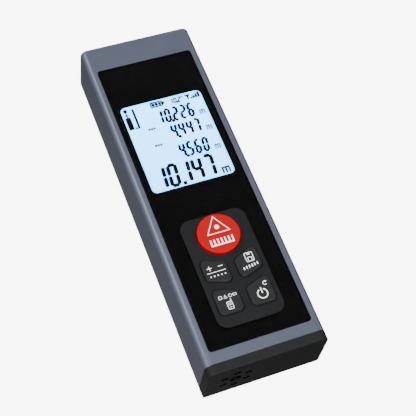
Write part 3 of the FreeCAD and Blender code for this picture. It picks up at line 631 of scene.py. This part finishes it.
def add_digits(ink, text, right, low, wide, high, pitch, line):
    """Slanted seven-segment figures that end at a right edge, with the point tucked after its figure."""
    figures = []
    for letter in text:
        if letter == ".":
            figures[-1] = figures[-1] + "."
        else:
            figures.append(letter)
    left = right - wide - (len(figures) - 1) * pitch
    for index, figure in enumerate(figures):
        start = left + index * pitch
        for key in SEGMENTS[figure[0]]:
            outline = segment_outline(key, wide, high, line)
            ink.shape([(start + x + FIGURE_LEAN * y, low + y) for x, y in outline])
        if figure.endswith("."):
            ink.box(start + (wide + pitch) / 2, low - 0.1 * line, POINT_SIZE * line, POINT_SIZE * line)


def display_figures(ink):
    """Three small readings, the large main reading and a small angle with its ring."""
    for text, drop in READINGS:
        add_digits(ink, text, READING_RIGHT, -drop, **SMALL_FIGURE)
    add_digits(ink, "10147", MAIN_RIGHT, -MAIN_FOOT, **LARGE_FIGURE)
    ink.box(10.9, -MAIN_FOOT, 1.2, 1.2, 0.15)
    add_digits(ink, "10.2", 20.1, -2.6, **TINY_FIGURE)
    ink.arc(20.95, -0.95, 0.26, 0.3)


def display_device_icon(ink):
    """Meter pictogram at the top left: a sighting dot, a stem, a body and a tall measuring line."""
    x = 1.5
    ink.dot(x, -1.35, 0.72)
    ink.stroke((x, -1.6), (x, -4.2), 0.42)
    ink.box(x, -3.1, 1.4, 0.42)
    ink.box(x, -6.3, 1.75, 4.9, 0.2)
    ink.dot(x + 1.6, -8.5, 0.42)
    ink.stroke((x + 2.45, -1.4), (x + 2.45, -8.5), 0.78)


def display_gauge(ink):
    """Battery gauge with three full blocks."""
    x, y = 12.1, -1.5
    ink.frame_box(x, y, 4.4, 2.2, 0.5, 0.6)
    ink.box(x + 2.4, y, 0.6, 1.1)
    for step in (-1, 0, 1):
        ink.box(x + step * 1.13, y, 1.0, 1.05)


def display_signal(ink):
    """Aerial and four rising signal bars."""
    x, foot = 22.9, -2.6
    ink.stroke((x, -2.4), (x, -0.8), 0.55)
    for side in (-1, 1):
        ink.stroke((x, -1.6), (x + side * 0.75, -0.75), 0.5)
    for step in range(4):
        high = 0.7 + 0.45 * step
        ink.box(x + 1.15 + 0.84 * step, foot + high / 2, 0.76, high)


def display_unit_marks(ink, bars):
    """A small comb, like a scale, after each reading, in place of a unit's letter."""
    for index, (drop, side, pitch, line, high) in enumerate(UNIT_COMBS):
        crown = high - line / 2 - drop
        ink.stroke((side, crown), (side + 1.75 * pitch, crown), line)
        ink.row(f"unit_mark_{index}", bars, 3, (side, high / 2 - drop), (pitch, 0), line, high)


def display_flags(ink):
    """Three short blocks in a line that flag the second and third readings."""
    for drop in (10.2, 16.6):
        for step in range(3):
            ink.box(6.7 + 0.86 * step, -drop, 0.72, 0.8)


def dress_display(figure_ink, mark_ink, bars):
    """All switched-on segments, on top of the display glass."""
    ink = display_print(figure_ink)
    display_figures(ink)
    display_device_icon(ink)
    display_gauge(ink)
    display_signal(ink)
    ink.piece("display_segments")
    small = display_print(mark_ink)
    display_flags(small)
    display_unit_marks(small, bars)
    small.piece("display_small_marks")


# ---------------------------------------------------------------- key marks

def key_print(node, slot, material, start=(0.0, 0.0)):
    """A print on the top of a key, drawn from a place in plan, which is the frame's origin if not given."""
    return Print(node, slot, material, (*start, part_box(node)[1].z))


def dress_measure_button(white, bars):
    """Triangle with a round dot, over a short ruler."""
    low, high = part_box("measure_button")
    marks = key_print("measure_button", "red_button", white, ((low.x + high.x) / 2, (low.y + high.y) / 2))
    marks.outline([(-3.75, 0.0), (3.85, 0.0), (0.1, 6.0)], 0.25)
    marks.dot(0.1, 2.1, 0.75)
    marks.box(0.0, -3.8, 7.4, 0.45)
    marks.piece("button_marks")
    marks.row("button_ruler", bars, 7, (-3.48, -2.65), (1.16, 0), 0.44, 1.9)


def dress_adjust_key(white, dots):
    """Plus and minus over a line and a row of dots."""
    marks = key_print("adjust_key", "key_rubber", white)
    x, y = -6.95, -28.7
    marks.stroke((x - 0.7, y), (x + 0.7, y), 0.2)
    marks.stroke((x, y - 0.7), (x, y + 0.7), 0.2)
    marks.stroke((-4.1, y), (-2.8, y), 0.22)
    marks.stroke((-8.1, -30.2), (-2.3, -30.2), 0.17)
    marks.piece("adjust_key_marks")
    marks.row("adjust_key_dots", dots, 5, (-7.4, -31.45), (1.15, 0), 0.46, 0.46)


def dress_memory_key(white, bars):
    """Storage card pictogram over a row of cells."""
    marks = key_print("memory_key", "key_rubber", white)
    x, y = 5.95, -28.6
    marks.frame_box(x, y, 2.6, 3.1, 0.2, 0.4)
    marks.box(x, y + 0.95, 0.9, 0.4)
    for side in (-1, 1):
        marks.box(x + side * 0.6, y - 0.7, 0.18, 1.3)
    marks.box(x, y - 0.1, 1.3, 0.17)
    marks.piece("memory_key_marks")
    marks.row("memory_key_cells", bars, 6, (3.1, -31.85), (0.9, 0.13), 0.34, 0.9)


def dress_function_key(white):
    """Plane figures to be measured, over a meter that points upwards."""
    marks = key_print("function_key", "key_rubber", white)
    y, line = -38.6, 0.13
    marks.frame_box(-7.3, y, 1.05, 1.05, line, 0.1)
    marks.outline([(-6.35, y - 0.55), (-5.15, y - 0.55), (-5.75, y + 0.6)], line)
    marks.arc(-4.2, y, 0.48, line)
    marks.frame_box(-2.75, y, 1.2, 0.75, line, 0.1)
    x, y = -5.2, -41.6
    marks.frame_box(x, y, 1.8, 2.6, 0.19, 0.3)
    marks.frame_box(x, y + 0.4, 0.85, 0.75, line, 0.1)
    marks.box(x, y - 0.6, 0.8, 0.16)
    marks.stroke((x + 0.7, y + 1.3), (x + 0.7, y + 2.0), 0.2)
    marks.piece("function_key_marks")


def dress_power_key(white):
    """Standby ring and bar, with a small return arrow above it."""
    marks = key_print("power_key", "key_rubber", white)
    x, y = 5.3, -41.05
    marks.arc(x, y, 1.5, 0.33, 122, 296)
    marks.stroke((x, y + 0.3), (x, y + 1.9), 0.32)
    x, y = 7.15, -38.05
    marks.arc(x, y, 0.58, 0.2, 60, 250)
    marks.shape([(x + 0.1, y + 0.85), (x + 0.2, y + 0.15), (x + 0.75, y + 0.5)])
    marks.piece("power_key_marks")


# ---------------------------------------------------------------- finishes on the CAD nodes

def paint(node, material):
    """Give a CAD node one material."""
    slots = NODES[node].data.materials
    slots.clear()
    slots.append(material)


def paint_nodes(clear, ink):
    """Every CAD node's finish."""
    metal, black, board = case_metal(), cap_plastic(), board_green()
    inner = black_plastic("inner_plastic", 0.03, 0.5)
    steel = bright_metal("plated_steel", (0.62, 0.61, 0.58), (0.74, 0.73, 0.7), 0.25, (1, 0.1, 1))
    gold = bright_metal("gold_can", (0.72, 0.6, 0.36), (0.82, 0.7, 0.45), 0.22, (1, 1, 1))
    brass = bright_metal("turned_brass", (0.72, 0.5, 0.2), (0.85, 0.62, 0.28), 0.2, (0.2, 3, 0.2))
    glass = lens_glass("coated_lens", (0.9, 0.96, 0.98), 0.01)
    mat = soft_rubber("mat_rubber", (0.0135, 0.014, 0.0155), (0.0158, 0.0163, 0.018))
    keys = soft_rubber("key_rubber", (0.0225, 0.023, 0.0245), (0.0255, 0.026, 0.0275))
    finishes = (
        (metal, ("housing",)),
        (clear, ("front_panel",)),
        (ink, ("panel_mask",)),
        (black, ("end_cap", "battery_door", "lens_bezel")),
        (lens_glass("front_pane", (0.92, 0.55, 0.55), 0.01), ("optical_pane",)),
        (display_face(), ("display_glass",)),
        (milky_acrylic(), ("backlight",)),
        (amber_film(), ("display_ribbon",)),
        (mat, ("keypad_mat",)),
        (soft_rubber("red_rubber", (0.54, 0.0002, 0.003), (0.57, 0.0003, 0.004)), ("measure_button",)),
        (keys, ("adjust_key", "memory_key", "function_key", "power_key")),
        (board, ("main_board", "receiver_board")),
        (black_plastic("chip_black", 0.012, 0.4), ("board_chips",)),
        # The buzzer's near-zero black is partly its own colour and partly painted shade seen through the
        # cap's sound holes.
        (black_plastic("buzzer_black", 0.001, 0.8), ("buzzer",)),
        (cell_sleeve(), ("battery_left", "battery_right")),
        (inner, ("display_frame", "battery_tray", "optics_frame")),
        (steel, ("switch_domes", "board_screws", "bezel_screws")),
        (steel, ("end_contacts", "bridge_contact", "battery_springs")),
        (glass, ("receiver_lens", "collimator_lens")),
        (gold, ("photodiode", "laser_diode")),
        (brass, ("laser_barrel",)),
    )
    for material, nodes in finishes:
        for node in nodes:
            paint(node, material)


def add_cover_sheet(clear, ink):
    """Clear cover sheet with its cut edges inked, so that no light leaks round them."""
    work = bmesh.new()
    work.from_mesh(NODES["front_panel"].data)
    bmesh.ops.remove_doubles(work, verts=work.verts, dist=1e-7)
    for face in work.faces:
        face.material_index = 0 if abs(face.normal.z) > 0.5 else 1
    mesh = bpy.data.meshes.new("cover_sheet")
    work.to_mesh(mesh)
    work.free()
    mesh.materials.append(clear)
    mesh.materials.append(ink)
    sheet = make_piece("cover_sheet", mesh, "case", clear)
    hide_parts("front_panel")


# ---------------------------------------------------------------- floor, lights, camera

CAMERA_TARGET = Vector((0.4, -8.7, 18.0)) * MM
CAMERA_DISTANCE = 328.5 * MM
CAMERA_ANGLES = (-31.05, 59.75, 11.7)
SENSOR_WIDE = 36.0
LENS_LONG = 92.6


def add_floor():
    """Plain pale floor, softly lit from within so that it stays bright without lighting the meter's sides.

    From below it is clear, so that the back of the meter can be seen.
    """
    mesh = bpy.data.meshes.new("floor")
    reach = 3.0
    level = -0.02 * MM
    plan = ((-reach, -reach), (reach, -reach), (reach, reach), (-reach, reach))
    mesh.from_pydata([(x, y, level) for x, y in plan], [], [(0, 1, 2, 3)])
    finish = Finish("pale_floor", (0.9, 0.9, 0.9), 0.7, Specular_IOR_Level=0.2)
    finish.shader.inputs["Emission Color"].default_value = (1, 1, 1, 1)
    finish.shader.inputs["Emission Strength"].default_value = 7.0
    finish.bump(finish.noise(2 * MM), 0.01 * MM)
    clear_below(finish)
    mesh.materials.append(finish.material)
    floor = bpy.data.objects.new("floor", mesh)
    floor.visible_diffuse = False
    floor.visible_glossy = False
    floor.visible_transmission = False
    floor.visible_shadow = False
    bpy.context.scene.collection.objects.link(floor)


def clear_below(finish):
    """Make a material see-through on the back of its faces."""
    mix = finish.tree.nodes.new("ShaderNodeMixShader")
    output = finish.tree.nodes["Material Output"]
    finish.link(finish.tree.nodes.new("ShaderNodeNewGeometry").outputs["Backfacing"], mix.inputs["Fac"])
    finish.link(finish.shader.outputs["BSDF"], mix.inputs[1])
    finish.link(finish.tree.nodes.new("ShaderNodeBsdfTransparent").outputs["BSDF"], mix.inputs[2])
    finish.link(mix.outputs["Shader"], output.inputs["Surface"])


def add_area_light(name, place, target, size, power):
    """Rectangular soft light aimed at a point."""
    lamp = bpy.data.lights.new(name, "AREA")
    lamp.shape = "RECTANGLE"
    lamp.size, lamp.size_y = size
    lamp.energy = power
    light = bpy.data.objects.new(name, lamp)
    light.location = place
    light.rotation_mode = "QUATERNION"
    light.rotation_quaternion = (Vector(target) - Vector(place)).to_track_quat("-Z", "Y")
    bpy.context.scene.collection.objects.link(light)


def add_room():
    """Soft room light: brightest a little above the horizon, dim overhead, dark just below it."""
    world = bpy.data.worlds.new("studio")
    world.use_nodes = True
    tree = world.node_tree
    place = tree.nodes.new("ShaderNodeTexCoord")
    split = tree.nodes.new("ShaderNodeSeparateXYZ")
    tree.links.new(place.outputs["Generated"], split.inputs["Vector"])
    height = tree.nodes.new("ShaderNodeMapRange")
    height.inputs["From Min"].default_value = -1.0
    tree.links.new(split.outputs["Z"], height.inputs["Value"])
    levels = tree.nodes.new("ShaderNodeValToRGB")
    ramp = levels.color_ramp
    stops = ((0.0, 0.16), (0.08, 0.16), (0.2, 0.01), (0.44, 0.02), (0.54, 0.36), (0.72, 0.38),
             (0.86, 0.08), (1.0, 0.08))
    while len(ramp.elements) < len(stops):
        ramp.elements.new(0.5)
    for element, (place_at, level) in zip(ramp.elements, stops):
        element.position = place_at
        element.color = (level, level, level, 1)
    tree.links.new(height.outputs["Result"], levels.inputs["Fac"])
    tree.links.new(levels.outputs["Color"], tree.nodes["Background"].inputs["Color"])
    bpy.context.scene.world = world


def add_lights():
    """Soft light overhead, a soft strip on the left and a weak one from below for the back face."""
    add_room()
    add_area_light("overhead", (-0.2, -0.3, 0.87), (0, 0, 0), (0.5, 0.5), 12.0)
    add_area_light("left_strip", (-0.66, 0.44, 0.58), (0, 0, 0.01), (0.55, 0.26), 1.75)
    add_area_light("under_fill", (0.0, 0.0, -0.9), (0, 0, 0), (0.3, 0.3), 2.0)


def add_camera():
    """Camera over the cap end's left corner, rolled so that the meter runs down to the right."""
    data = bpy.data.cameras.new("camera")
    data.sensor_width = SENSOR_WIDE
    data.lens = LENS_LONG
    camera = bpy.data.objects.new("camera", data)
    azimuth, elevation, roll = (math.radians(angle) for angle in CAMERA_ANGLES)
    back = Vector((math.sin(azimuth) * math.cos(elevation), -math.cos(azimuth) * math.cos(elevation),
                   math.sin(elevation)))
    camera.location = CAMERA_TARGET + back * CAMERA_DISTANCE
    camera.rotation_mode = "QUATERNION"
    aim = (-back).to_track_quat("-Z", "Y")
    camera.rotation_quaternion = aim @ Matrix.Rotation(roll, 4, "Z").to_quaternion()
    bpy.context.scene.collection.objects.link(camera)
    bpy.context.scene.camera = camera


def main():
    clear, print_ink = clear_cover(), panel_print()
    paint_nodes(clear, print_ink)
    add_cover_sheet(clear, print_ink)
    white = mark_white_glowing()
    bars, dots = row_tree("bar_row", "bar"), row_tree("dot_row", "dot")
    dress_display(display_ink(), display_small_ink(), bars)
    dress_measure_button(white, bars)
    dress_adjust_key(white, dots)
    dress_memory_key(white, bars)
    dress_function_key(white)
    dress_power_key(white)
    add_floor()
    add_lights()
    add_camera()


main()
